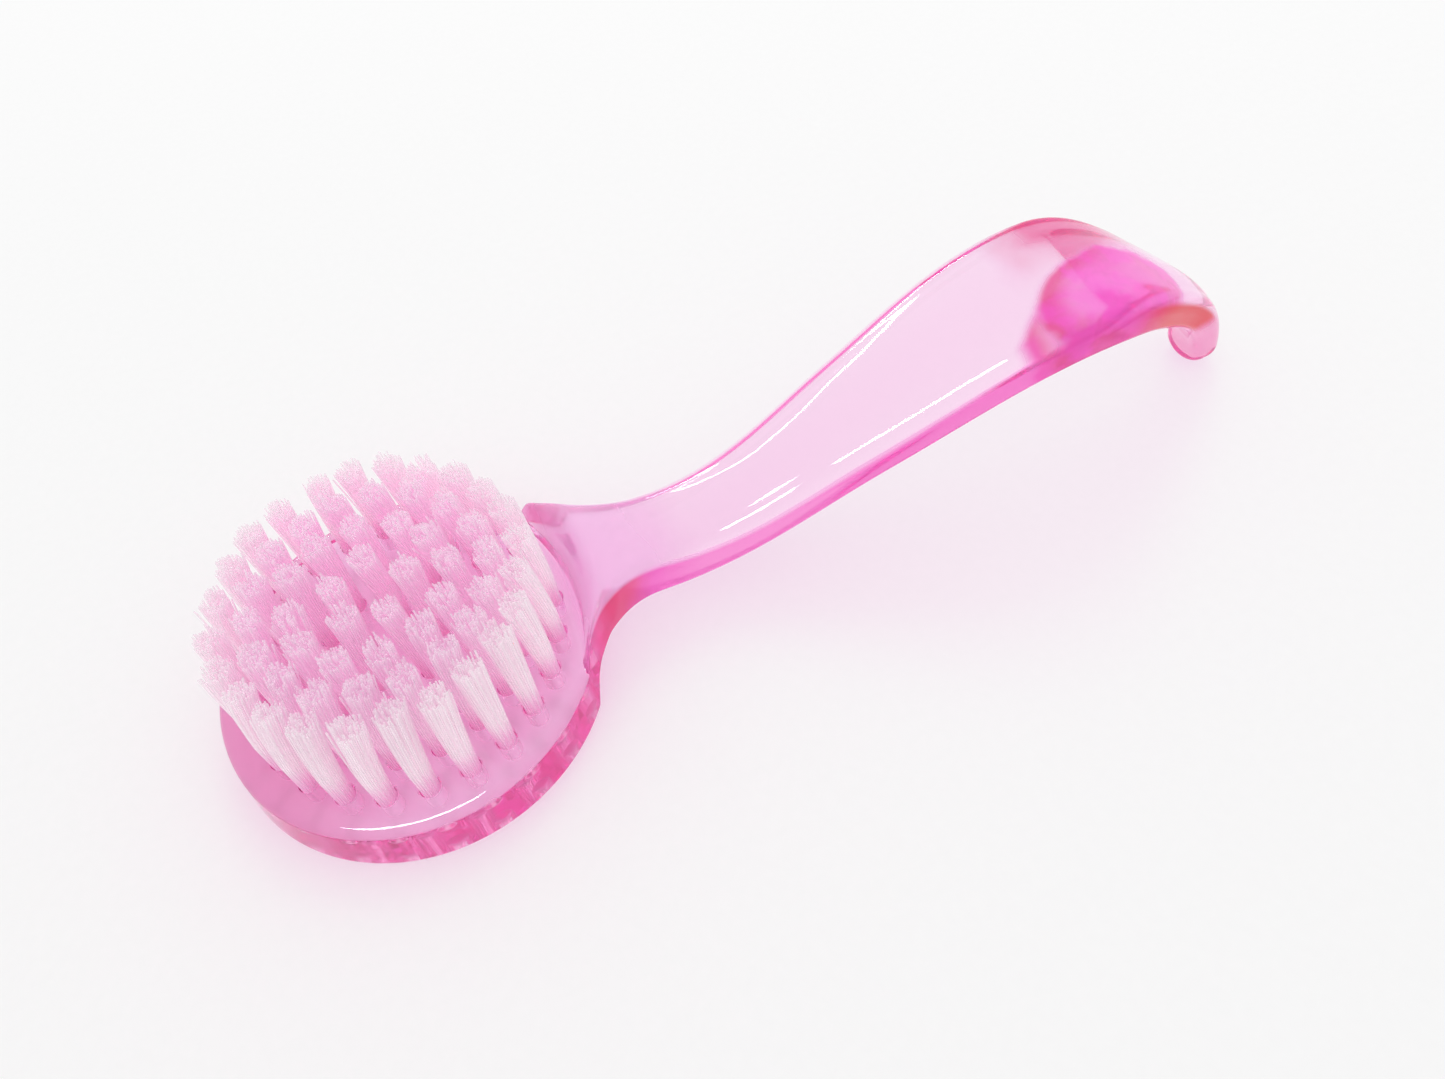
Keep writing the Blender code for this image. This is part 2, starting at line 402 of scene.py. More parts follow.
@dataclass(frozen=True)
class ClearPlastic:
    """Clear pink styrene, pale where light crosses it and deep where it runs along it; the deep
    colours and the head's shade are also painted on.
    """

    clear: Colour = (1.0, 0.97, 0.995)
    # Painted shade: the head's face is deeper on the left, away from the lamp, and paler on the
    # right.
    face_left_painted_shade: Colour = (0.76, 0.15, 0.42)
    face_right: Colour = (0.94, 0.60, 0.85)
    # Painted light: the deep pink of the rim and the deep red of the neck's walls, where light runs
    # along inside the plastic.
    rim: Colour = (0.97, 0.17, 0.50)
    neck: Colour = (0.88, 0.08, 0.21)
    # Painted light: pale pink over the neck's step, in place of its dark refraction bands.
    painted_pale_over_step: Colour = (0.92, 0.63, 0.87)
    # Painted light: the magenta band on the handle's walls, where light runs along inside it.
    wall: Colour = (0.98, 0.11, 0.60)
    # Painted reflection: the magenta pool inside the bent end, and its darker red border, also laid
    # on the far crest.
    pool: Colour = (0.97, 0.13, 0.68)
    border: Colour = (0.82, 0.09, 0.32)
    # Painted light: the coral band where light runs along inside the hooked end.
    hook: Colour = (0.84, 0.05, 0.08)
    kept: Colour = (1.0, 0.07, 0.75)
    density: float = 50.0
    shade: Colour = (0.965, 0.935, 0.96)
    index: float = 1.49
    polish: float = 0.02
    haze: float = 0.02
    haze_scale: float = 420.0
    flow_scale: float = 190.0
    flow_strength: float = 0.16
    flow_depth: float = 0.0002
    drift_scale: float = 150.0
    drift_along: float = 0.005
    drift_across: float = 0.004
    streak_scale: float = 260.0
    streak_tones: Pair = (0.40, 0.60)
    octaves: float = 3.0
    tinge: float = 0.50
    body: float = 0.42
    body_gloss: float = 0.05
    body_roughness: float = 0.04
    places: PaintedLightPlaces = PaintedLightPlaces()
    shares: PaintedLightShares = PaintedLightShares()

    def pool_spot(self, x: Value, y: Value) -> Value:
        """How near a place is to the middle of the painted pool's oval, in plan.

        Args:
            x: The place along the part.
            y: The place across it.

        Returns:
            0 at the middle, 1 on the oval and more outside it.
        """
        turn = math.radians(self.places.pool_lean)
        along_x = x - self.places.pool_middle[0]
        along_y = y - self.places.pool_middle[1]
        long_reach, short_reach = self.places.pool_reach
        right = (along_x * math.cos(turn) + along_y * math.sin(turn)) * (1 / long_reach)
        up = (along_y * math.cos(turn) - along_x * math.sin(turn)) * (1 / short_reach)
        return (right * right + up * up) ** 0.5

    def painted_light_and_shade(self, kit: Shading, place: Value) -> tuple[Value, Value]:
        """The painted light and shade of the surface and how much of it shows.

        Args:
            kit: The material's tree.
            place: The place on the piece.

        Returns:
            The colour, and its share: least on the faces, most in the pool and on the hook.
        """
        at, part = self.places, self.shares
        x, y, z = kit.axes(place)
        tilt = kit.tone("tilt")
        drift = kit.noise(place, self.drift_scale, self.octaves) - 0.5
        streak = kit.noise(place, self.streak_scale, self.octaves).step(*self.streak_tones)
        far = x + drift * self.drift_along

        handle = x.step(*at.handle)
        # Painted light: the deep band on the walls, where light runs along inside the plastic, cut
        # back on the handle's far side.
        far_wall = handle * y.step(*at.far_side) * part.far_wall_cut
        wall = tilt.step(*at.wall_tilt_shares) * (1 - far_wall)
        # Painted shade: the head's face is deeper on its left.
        face = kit.blend(x.step(*at.head_face), self.face_left_painted_shade, self.face_right)
        # Painted light: deep red on the neck's walls, magenta further along.
        side = kit.blend(1 - far.step(*at.neck_red_end), self.wall, self.neck)
        on_head = kit.blend(wall, face, self.rim)
        colour = kit.blend(handle, on_head, kit.blend(wall, self.painted_pale_over_step, side))
        left = (1 - x.step(*at.head_left_painted_shade)) * part.head_left_painted_shade + part.head_face
        share = kit.blend_value(handle, kit.blend_value(wall, left, part.rim), wall)
        # Pale pink painted over the neck's step, in place of its dark refraction bands.
        neck = x.step(*at.neck_start) * (1 - far.step(*at.neck_end))
        share = kit.blend_value(neck, share, wall * part.neck_wall + part.neck)

        # Painted reflection: the magenta pool inside the bent end, with a darker streaked border.
        oval = self.pool_spot(far, y + drift * self.drift_across)
        pool = 1 - oval.step(*at.pool_edge_shares)
        fade = 1 - x.step(*at.border_fade) * part.border_fade
        edge = oval.step(*at.border_shares) * pool * fade
        border = edge * (streak * part.border_streak + part.border_base) + streak * part.streak
        # Painted light: the red far crest, the coral hook and the deep tip, where light runs along
        # inside the end.
        crest = far.step(*at.crest_start) * (1 - far.step(*at.crest_end)) * y.step(*at.crest_side)
        near = y.step(*at.hook_side) * tilt.step(*at.hook_tilt_shares)
        hook = far.step(*at.hook_start) * z.step(*at.hook_height) * near
        tip = x.step(*at.tip_start) * (1 - z.step(*at.tip_height))
        gathered = part.pool - streak * part.pool_streak + edge * part.pool_edge
        for where, over, shown in (
            (pool, kit.blend(border, self.pool, self.border), gathered),
            (crest, self.border, part.crest),
            (hook, self.hook, part.hook),
            (tip, self.rim, part.tip),
        ):
            colour = kit.blend(where, colour, over)
            share = kit.blend_value(where, share, shown)
        under = far.step(*at.under_start) * kit.tone("under").step(*at.under_shares) * (1 - tip)
        return colour, share * (1 - under * part.under_cut)

    def material(self) -> Material:
        """Makes the material.

        Returns:
            Glass that absorbs evenly inside, with some of a matt body that shows the painted light
            and shade where it is deep, and a surface that lets the light of lamps and of pale
            things through.
        """
        made, kit = new_material("clear_pink_plastic")
        place = kit.place()
        # The painted light and shade tints the glass and colours the matt body.
        colour, share = self.painted_light_and_shade(kit, place)
        haze = kit.noise(place, self.haze_scale, self.octaves)
        ripple = kit.noise(place, self.flow_scale, 1.0)
        flow = kit.bump(ripple, self.flow_strength, self.flow_depth)
        polish = haze * self.haze + self.polish
        glass = kit.add("ShaderNodeBsdfPrincipled", {
            "Base Color": kit.blend(share * self.tinge, self.clear, colour),
            "Roughness": polish,
            "IOR": self.index,
            "Transmission Weight": 1.0,
            "Normal": flow,
        })
        body = kit.add("ShaderNodeBsdfPrincipled", {
            "Base Color": colour,
            "Roughness": polish + self.body_roughness,
            "IOR": self.index,
            "Specular IOR Level": self.body_gloss,
            "Normal": flow,
        })
        both = kit.add("ShaderNodeMixShader", {0: share * self.body, 1: glass, 2: body})
        clear = kit.add("ShaderNodeBsdfTransparent", {"Color": self.shade})
        passed = kit.light_path("Is Shadow Ray") + kit.light_path("Is Diffuse Ray")
        surface = kit.add("ShaderNodeMixShader", {0: passed, 1: both, 2: clear})
        inner = kit.add("ShaderNodeVolumeAbsorption", {"Color": self.kept, "Density": self.density})
        kit.add("ShaderNodeOutputMaterial", {"Surface": surface, "Volume": inner})
        return made


@dataclass(frozen=True)
class PaleNylon:
    """Pale pink nylon that passes some light on, with each filament its own tone."""

    # Painted light: the deep roots and the pinker inner tufts stand in for the pink light that the
    # plastic throws up into them; the outer tufts are painted paler.
    pale: Colour = (0.94, 0.92, 0.93)
    painted_inner_pink: Colour = (0.93, 0.785, 0.90)
    deep: Colour = (0.915, 0.58, 0.82)
    through: Colour = (0.96, 0.90, 0.935)
    shade: Colour = (1.0, 0.985, 0.993)
    index: float = 1.53
    roughness: float = 0.30
    roughness_spread: float = 0.12
    passed_on: float = 0.5
    clearness: float = 0.34
    outer_radii: Pair = (0.0095, 0.0150)
    outer_share: float = 0.85
    pale_share: float = 0.10
    tone_share: float = 0.08
    painted_root_rises: Pair = (0.02, 0.40)

    def material(self) -> Material:
        """Makes the material.

        Returns:
            A glossy thread that also passes some light on.
        """
        made, kit = new_material("pale_pink_nylon")
        x, y, _ = kit.axes(kit.place())
        rise, tone = kit.tone("rise"), kit.tone("tone")
        varied = tone * self.tone_share
        # Painted light: paler on the outer tufts, pinker in the middle and deep at the roots; each
        # filament's tone also varies at random.
        outer = ((x * x + y * y) ** 0.5).step(*self.outer_radii)
        paled = outer * self.outer_share + self.pale_share + varied
        tip = kit.blend(paled, self.painted_inner_pink, self.pale)
        colour = kit.blend((rise + varied).step(*self.painted_root_rises), self.deep, tip)
        thread = kit.add("ShaderNodeBsdfPrincipled", {
            "Base Color": colour,
            "Roughness": tone * self.roughness_spread + self.roughness,
            "IOR": self.index,
        })
        glow = kit.add("ShaderNodeBsdfTranslucent", {"Color": self.through})
        solid = kit.add("ShaderNodeMixShader", {0: self.passed_on, 1: thread, 2: glow})
        clear = kit.add("ShaderNodeBsdfTransparent", {"Color": self.shade})
        surface = kit.add("ShaderNodeMixShader", {0: self.clearness, 1: solid, 2: clear})
        kit.add("ShaderNodeOutputMaterial", {"Surface": surface})
        return made


@dataclass(frozen=True)
class PlatedWire:
    """The flat plated wire of the anchors."""

    colour: Colour = (0.78, 0.74, 0.70)
    worn: Colour = (0.60, 0.57, 0.55)
    roughness: float = 0.25
    scratched: float = 0.20
    scratch_scale: float = 5200.0
    octaves: float = 3.0

    def material(self) -> Material:
        """Makes the material.

        Returns:
            Drawn metal, a little scratched.
        """
        made, kit = new_material("plated_wire")
        scratch = kit.noise(kit.place(), self.scratch_scale, self.octaves)
        metal = kit.add("ShaderNodeBsdfPrincipled", {
            "Base Color": kit.blend(scratch, self.colour, self.worn),
            "Metallic": 1.0,
            "Roughness": scratch * self.scratched + self.roughness,
        })
        kit.add("ShaderNodeOutputMaterial", {"Surface": metal})
        return made


# The moulding


def ease(share: float) -> float:
    """A smooth step from 0 to 1."""
    share = min(max(share, 0.0), 1.0)
    return share * share * (3.0 - 2.0 * share)


def mix(low: float, high: float, share: float) -> float:
    """The value this share of the way from low to high."""
    return low + (high - low) * share


def along(degrees: float) -> Vector:
    """A unit vector in the plane, turned by this many degrees."""
    return Vector((math.cos(math.radians(degrees)), math.sin(math.radians(degrees))))


def smooth_run(knots: Spots, steps: int, pull_share: float) -> list[Vector]:
    """Points on a curve through knots.

    Args:
        knots: Each a point and the curve's direction there, in degrees.
        steps: How many points lead from one knot to the next.
        pull_share: How far the direction holds, as a share of the way.

    Returns:
        The points, both ends included.
    """
    points = [knots[0][0]]
    for (low, low_turn), (high, high_turn) in zip(knots, knots[1:]):
        pull = (high - low).length * pull_share
        first = low + along(low_turn) * pull
        second = high - along(high_turn) * pull
        points.extend(interpolate_bezier(low, first, second, high, steps + 1)[1:])
    return points


@dataclass(frozen=True)
class HeadSizes:
    """The round head."""

    radius: float = 0.01897
    thickness: float = 0.0056
    draft: float = 0.0005
    top_round: float = 0.0011
    back_round: float = 0.0006
    face_margin: float = 0.0017
    ring_margin: float = 0.0025

    @property
    def face_radius(self) -> float:
        """The flat face that carries the bristles."""
        return self.radius - self.face_margin

    @property
    def ring_radius(self) -> float:
        """The outer ring of tufts."""
        return self.face_radius - self.ring_margin


@dataclass(frozen=True)
class HandleSizes:
    """The handle, from the neck to the hooked end.

    Each knot of its line has its share of the reach, its share of the rise from the neck's waist
    to the crest, and the line's direction in degrees. The roundings and the crown grow over the
    growth share.
    """

    reach: float = 0.09508
    crest: float = 0.022898
    neck_step: float = 0.0041
    neck_step_run: float = 0.0028
    neck_dip: float = 0.0011
    neck_crease: float = 56.0
    thickness: float = 0.0048
    tip_thickness: float = 0.0038
    crown: float = 0.0005
    top_round: float = 0.0019
    back_round: float = 0.0012
    neck_width: float = 0.0098
    neck_fillet: float = 0.0120
    paddle_width: float = 0.0165
    tip_width: float = 0.0054
    line_knot_shares: tuple[Triple, ...] = (
        (0.306, 0.0, 0.0),
        (0.502, 0.465, 23.5),
        (0.745, 1.0, 0.0),
        (0.872, 0.617, -37.0),
    )
    pull_share: float = 0.36
    growth_share: float = 0.25
    paddle_share: float = 0.620
    shoulder_share: float = 0.760
    shoulder_width_share: float = 0.71
    shoulder_direction: float = -16.0


class SideLine:
    """The moulding's top line, seen from the side.

    A place along it is a reach as far as the neck's waist, and from there on it follows the
    line's own length.
    """

    def __init__(self, head: HeadSizes, handle: HandleSizes, steps: int) -> None:
        """Draws the line.

        Args:
            head: The head's sizes.
            handle: The handle's sizes.
            steps: Points from one knot to the next.
        """
        step_top = head.thickness + handle.neck_step
        waist = step_top - handle.neck_dip
        crest = handle.crest - handle.crown
        knots = [
            (Vector((head.face_radius, head.thickness)), handle.neck_crease),
            (Vector((head.face_radius + handle.neck_step_run, step_top)), 0.0),
        ]
        for reach, rise, degrees in handle.line_knot_shares:
            knots.append((Vector((handle.reach * reach, mix(waist, crest, rise))), degrees))
        knots.append((Vector((handle.reach, 0.0)), -90.0))
        first = Vector((-head.radius, head.thickness))
        self.points = [first] + smooth_run(knots, steps, handle.pull_share)
        self.start = head.face_radius
        self.waist = knots[2][0].x
        self.places = [first.x]
        for low, high in zip(self.points, self.points[1:]):
            run = (high - low).length if low.x >= self.waist else high.x - low.x
            self.places.append(self.places[-1] + run)
        self.end = self.places[-1]
        turns = [(high - low).normalized() for low, high in zip(self.points, self.points[1:])]
        middles = [(low + high).normalized() for low, high in zip(turns, turns[1:])]
        self.turns = [along(0.0)] + middles + [along(-90.0)]

    def at(self, place: float) -> tuple[Vector, Vector]:
        """Finds a place on the line.

        Args:
            place: How far along the line it is.

        Returns:
            The line's point there, and the way out through the top.
        """
        index = int(np.searchsorted(self.places, place))
        index = min(max(index, 1), len(self.points) - 1)
        share = (place - self.places[index - 1]) / (self.places[index] - self.places[index - 1])
        turn = self.turns[index - 1].lerp(self.turns[index], share)
        square = Vector((-turn.y, turn.x)).normalized()
        lean = ease((place - self.start) / (self.waist - self.start))
        out = along(90.0).lerp(square, lean).normalized()
        return self.points[index - 1].lerp(self.points[index], share), out

    def share_of_handle(self, place: float) -> float:
        """How far along the handle a place is, from 0 at the face's edge to 1 at the tip."""
        return (place - self.start) / (self.end - self.start)


@dataclass
class Moulding:
    """The head and handle: one clear moulding, lofted along its outline and bent."""

    head: HeadSizes = HeadSizes()
    handle: HandleSizes = HandleSizes()
    hole_diameter: float = 0.0020
    hole_depth: float = 0.0042
    hole_mouth: float = 0.00012
    hole_sides: int = 20
    hole_floor_share: float = 0.35
    cut_overrun: float = 0.0010
    head_points: int = 140
    fillet_points: int = 52
    side_points: int = 30
    tip_points: int = 16
    round_steps: int = 9
    columns: int = 24
    line_steps: int = 60
    bow_none: float = 48.0
    bow_full: float = 28.0
    smooth_degrees: float = 38.0
    normal_weight: int = 80

    def half_outline(self, line: SideLine) -> list[Vector]:
        """Draws the strip's edge at +Y, unbent.

        Args:
            line: The top line, for the places along it.

        Returns:
            The edge's points, from the head's far side to the tip.
        """
        head, handle = self.head, self.handle
        neck = handle.neck_width / 2
        rise = neck + handle.neck_fillet
        turn = math.asin(rise / (head.radius + handle.neck_fillet))
        centre = Vector(((head.radius + handle.neck_fillet) * math.cos(turn), rise))
        points = []
        for step in range(self.head_points):
            angle = math.degrees(mix(math.pi, turn, step / self.head_points))
            points.append(along(angle) * head.radius)
        for step in range(self.fillet_points):
            angle = math.degrees(mix(math.pi + turn, math.pi * 3 / 2, step / self.fillet_points))
            points.append(centre + along(angle) * handle.neck_fillet)
        tip = handle.tip_width / 2
        paddle = handle.paddle_width / 2
        shoulder = paddle * handle.shoulder_width_share
        shoulder_place = mix(line.start, line.end, handle.shoulder_share)
        knots = [
            (Vector((centre.x, neck)), 0.0),
            (Vector((mix(line.start, line.end, handle.paddle_share), paddle)), 0.0),
            (Vector((shoulder_place, shoulder)), handle.shoulder_direction),
            (Vector((line.end - tip, tip)), 0.0),
        ]
        points.extend(smooth_run(knots, self.side_points, handle.pull_share))
        for step in range(1, self.tip_points + 1):
            angle = 90.0 * (1 - step / self.tip_points)
            points.append(Vector((line.end - tip, 0.0)) + along(angle) * tip)
        points[0].y = points[-1].y = 0.0
        places = [point.x + self.bow(point) for point in points]
        crease = next(index for index, place in enumerate(places) if place > line.start)
        share = (line.start - places[crease - 1]) / (places[crease] - places[crease - 1])
        points[crease - 1] = points[crease - 1].lerp(points[crease], share)
        return points

    def bow(self, point: Vector) -> float:
        """Finds how far a row across the strip bows to the tip, to rise round the face.

        Args:
            point: The row's end on the outline.

        Returns:
            The bow at the middle of the row.
        """
        angle = math.degrees(math.atan2(point.y, point.x))
        round_share = ease((self.bow_none - angle) / (self.bow_none - self.bow_full))
        near_share = 1 - ease((point.x - self.head.radius) / self.head.radius)
        return (point.length - point.x) * round_share * near_share

    def rim(
        self, top_round: float, back_round: float, draft: float, thickness: float
    ) -> list[Pair]:
        """Rounds the strip's edge off.

        Args:
            top_round: The radius at the top.
            back_round: The radius at the back.
            draft: How far the top is set in from the back.
            thickness: The strip's thickness.

        Returns:
            Inset and depth pairs from the top face round the edge to the back face.
        """
        turns = [math.pi / 2 * step / self.round_steps for step in range(self.round_steps + 1)]
        top, back = [], []
        for turn in turns:
            left, risen = 1 - math.sin(turn), 1 - math.cos(turn)
            top.append((draft + top_round * left, -top_round * risen))
            back.append((back_round * left, back_round * risen - thickness))
        return top + back[::-1]

    def kept(self) -> dict[str, list[float]]:
        """Finds what each corner of a section tells the shader.

        Returns:
            "tilt", how far it leans to the side, from 0 on a face to 1 on the wall, and "under",
            how far down it is, from 0 on the top face to 1 on the back.
        """
        rows = 2 * (self.round_steps + 1)
        lean = [step / self.round_steps for step in range(self.round_steps + 1)]
        deep = [row / (rows - 1) for row in range(rows)]
        top, back = [0.0] * (self.columns - 1), [1.0] * (self.columns - 1)
        tilt = lean + lean[::-1] + top
        return {"tilt": tilt + tilt, "under": deep + back + deep[::-1] + top}

    def section(self, line: SideLine, points: list[Vector], index: int) -> list[Triple]:
        """Lays one closed loop of corners round the strip.

        Args:
            line: The top line that it bends along.
            points: The strip's outline.
            index: Which point of the outline the loop is at.

        Returns:
            The corners, from the top face at +Y round the back to the top again.
        """
        head, handle = self.head, self.handle
        point = points[index]
        if index in (0, len(points) - 1):
            outward = along(180.0 if index == 0 else 0.0)
        else:
            run = (points[index + 1] - points[index - 1]).normalized()
            outward = Vector((-run.y, run.x))
        lead = self.bow(point)
        share = line.share_of_handle(point.x + lead)
        grown = ease(share / handle.growth_share)
        stepped = ease((point.x + lead - line.start) / handle.neck_step_run)
        thickness = mix(head.thickness, handle.thickness, stepped)
        thickness = mix(thickness, handle.tip_thickness, ease(2 * share - 1))
        top_round = mix(head.top_round, handle.top_round, grown)
        back_round = mix(head.back_round, handle.back_round, grown)
        draft = mix(head.draft, 0.0, grown)
        crown = handle.crown * grown * ease((1 - share) / handle.growth_share)
        edge = []
        for inset, depth in self.rim(top_round, back_round, draft, thickness):
            place = point - outward * inset
            edge.append((place.x, max(place.y, 0.0), depth))
        sides = [mix(1.0, -1.0, column / self.columns) for column in range(1, self.columns)]
        top_x, top_y, _ = edge[0]
        back_x, back_y, _ = edge[-1]
        under = [(back_x, back_y * side, -thickness) for side in sides]
        other = [(x, -y, depth) for x, y, depth in reversed(edge)]
        over = [(top_x, -top_y * side, crown * (1 - side * side)) for side in sides]
        corners = []
        for x, y, depth in edge + under + other + over:
            middle, out = line.at(x + lead)
            sag = lead * min(abs(y) / max(point.y, head.top_round), 1.0) ** 2
            corners.append((middle.x + out.x * depth - sag, y, middle.y + out.y * depth))
        return corners

    def skin(self) -> Object:
        """Wraps a flat grid round the sections and closes it.

        Returns:
            The moulding, with no holes yet.
        """
        line = SideLine(self.head, self.handle, self.line_steps)
        points = self.half_outline(line)
        rows = [self.section(line, points, index) for index in range(len(points))]
        lengths, around = len(rows) - 1, len(rows[0])
        pick()
        bpy.ops.mesh.primitive_grid_add(x_subdivisions=lengths, y_subdivisions=around, size=2.0)
        made = named("moulded_body")
        turns = []
        for corner in made.data.vertices:
            row = round((corner.co.x + 1) / 2 * lengths)
            turns.append(round((corner.co.y + 1) / 2 * around) % around)
            corner.co = rows[row][turns[-1]]
        for name, values in self.kept().items():
            keep(made.data, name, [values[turn] for turn in turns])
        with editing(made):
            bpy.ops.mesh.select_all(action="SELECT")
            bpy.ops.mesh.remove_doubles(threshold=WELD)
            bpy.ops.mesh.normals_make_consistent(inside=False)
        return made

    def hole(self) -> Object:
        """One cutter: a blind drilling with a rounded floor and an eased mouth.

        Returns:
            The cutter, with the face's plane at its origin.
        """
        radius, deep = self.hole_diameter / 2, self.hole_depth
        pick()
        bpy.ops.mesh.primitive_cylinder_add(
            vertices=self.hole_sides, radius=radius, depth=deep, location=-UP * deep / 2
        )
        made = named("hole")
        bpy.ops.object.transform_apply(location=True)
        with editing(made) as shape:
            floor = [face for face in shape.faces if face.normal.z < -LEVEL]
            choose(shape, [edge for face in floor for edge in face.edges])
            bpy.ops.mesh.bevel(offset=radius * self.hole_floor_share, segments=2)
            shape = bmesh.from_edit_mesh(made.data)
            mouth = [face for face in shape.faces if face.normal.z > LEVEL]
            choose(shape, mouth)
            bpy.ops.transform.translate(value=-UP * self.hole_mouth)
            extrude(UP * self.hole_mouth)
            wide = 1 + self.hole_mouth / radius
            bpy.ops.transform.resize(value=(wide, wide, 1.0), center_override=(0.0, 0.0, 0.0))
            extrude(UP * self.cut_overrun)
        return made

    def build(self, spots: Spots) -> Object:
        """Makes the moulding and cuts its tuft holes.

        Args:
            spots: Each tuft's place on the face and its own turn.

        Returns:
            The finished mesh.
        """
        body = self.skin()
        cutter = repeat(self.hole(), spots)
        finish(body, "BOOLEAN", operation="DIFFERENCE", solver="EXACT", object=cutter)
        bpy.data.objects.remove(cutter)
        pick(body)
        bpy.ops.object.shade_smooth_by_angle(angle=math.radians(self.smooth_degrees))
        kept = {"mode": "FACE_AREA", "weight": self.normal_weight, "keep_sharp": True}
        finish(body, "WEIGHTED_NORMAL", **kept)
        return body


# The bristles


@dataclass
class Bristles:
    """Rings of tufts: bundles of nylon filament, and the flat wire anchors at their feet."""

    moulding: Moulding
    length: float = 0.0118
    spread: float = 0.0027
    lean: float = 0.0012
    front_sweep: Pair = (0.0006, 0.0005)
    tuft_bend: float = 0.00022
    fan_power: float = 0.9
    bend_power: float = 1.6
    filaments: int = 96
    filament_radius: float = 0.000085
    filament_steps: tuple[float, ...] = (0.25, 0.25, 0.15, 0.15, 0.20)
    filament_lean: float = 0.00007
    length_share: Pair = (0.955, 0.010)
    stray_chance: float = 0.04
    stray_gain: float = 5.0
    clumps: int = 14
    clump_lean: float = 0.00012
    clump_lift: float = 0.022
    smooth_degrees: float = 60.0
    wire_thickness: float = 0.0003
    wire_height: float = 0.0011
    seed: int = 20

    def spots(self, ring: Ring) -> Spots:
        """Finds where a ring's tufts stand.

        Args:
            ring: The ring.

        Returns:
            Each tuft's place on the face and its own turn.
        """
        count, share, first = ring.value
        found = []
        for index in range(count):
            angle = math.radians(first) + 2 * math.pi * index / count
            flat = along(math.degrees(angle)) * self.moulding.head.ring_radius * share
            found.append((Vector((flat.x, flat.y, self.moulding.head.thickness)), angle))
        return found

    def filament(self) -> Object:
        """One filament of unit radius and height, with its foot at the origin.

        Returns:
            A closed four-sided thread in five lengths, with a cut end.
        """
        pick()
        bpy.ops.mesh.primitive_circle_add(vertices=4, radius=1.0, fill_type="NGON")
        made = named("filament")
        with editing(made):
            bpy.ops.mesh.select_all(action="SELECT")
            for step in self.filament_steps:
                extrude(UP * step)
            bpy.ops.mesh.poke()
            bpy.ops.mesh.select_all(action="SELECT")
            bpy.ops.mesh.normals_make_consistent(inside=False)
        return made

    def tuft(
        self, draw: np.random.Generator, corners: np.ndarray, place: Vector, angle: float
    ) -> Iterator[tuple[np.ndarray, float, np.ndarray]]:
        """Bends copies of the one filament into a tuft whose filaments cling in clumps.

        Args:
            draw: Where the chances come from.
            corners: The corners of the one filament.
            place: The tuft's place on the face.
            angle: Its own turn.

        Yields:
            Each filament's corners, its tone, and how far up the tuft each corner is.
        """
        moulding = self.moulding
        ring_radius = moulding.head.ring_radius
        depth = moulding.hole_depth - moulding.hole_mouth - self.filament_radius
        packed = moulding.hole_diameter / 2 - 2.0 * self.filament_radius
        fan = self.spread / 2 / packed
        golden = math.pi * (3 - math.sqrt(5))
        middle = np.array(place[:2])
        front = ease(-place.y / ring_radius) * np.array(self.front_sweep)
        bend = draw.normal(0.0, self.tuft_bend, 2) - middle * self.lean / ring_radius + front
        clump_places = draw.uniform(-packed, packed, (self.clumps, 2))
        clump_leans = draw.normal(0.0, self.clump_lean, (self.clumps, 2))
        clump_lifts = draw.normal(0.0, self.clump_lift, self.clumps)
        for index in range(self.filaments):
            out = packed * math.sqrt((index + 0.5) / self.filaments)
            turn = golden * index + angle
            root = np.array([math.cos(turn), math.sin(turn)]) * out
            clump = int(np.argmin(np.hypot(*(clump_places - root).T)))
            lift = self.length * (draw.normal(*self.length_share) + clump_lifts[clump])
            stray = self.stray_gain if draw.random() < self.stray_chance else 1.0
            lean = draw.normal(0.0, self.filament_lean, 2) * stray + clump_leans[clump]
            rise = corners[:, 2] * (depth + lift) - depth
            free = np.clip(rise / self.length, 0.0, None)[:, None]
            spread = 1 + (fan - 1) * free**self.fan_power
            shape = np.empty_like(corners)
            shape[:, :2] = middle + root * spread + corners[:, :2] * self.filament_radius
            shape[:, :2] += (lean + bend) * free**self.bend_power
            shape[:, 2] = rise + place.z
            yield shape, draw.random(), np.clip(rise / self.length, 0.0, 1.0)

    def build(self, ring: Ring) -> Object:
        """Makes one ring of tufts as copies of the one filament.

        Args:
            ring: The ring.

        Returns:
            The finished mesh, with each filament's tone and each corner's rise kept on it.
        """
        master = self.filament()
        corners = np.array([corner.co for corner in master.data.vertices])
        faces = [tuple(face.vertices) for face in master.data.polygons]
        bpy.data.objects.remove(master)
        draw = np.random.default_rng(self.seed + ring.value[0])
        threads = []
        for place, angle in self.spots(ring):
            threads.extend(self.tuft(draw, corners, place, angle))
        shapes, tones, rises = zip(*threads)
        starts = [len(corners) * copy for copy in range(len(threads))]
        all_faces = [tuple(corner + start for corner in face) for start in starts for face in faces]
        mesh = bpy.data.meshes.new(f"bristles_{ring.key}")
        mesh.from_pydata(np.concatenate(shapes), [], all_faces)
        keep(mesh, "tone", np.repeat(tones, len(corners)))
        keep(mesh, "rise", np.concatenate(rises))
        made = bpy.data.objects.new(f"bristles_{ring.key}", mesh)
        bpy.context.scene.collection.objects.link(made)
        pick(made)
        bpy.ops.object.shade_smooth_by_angle(angle=math.radians(self.smooth_degrees))
        made.visible_shadow = False
        return made

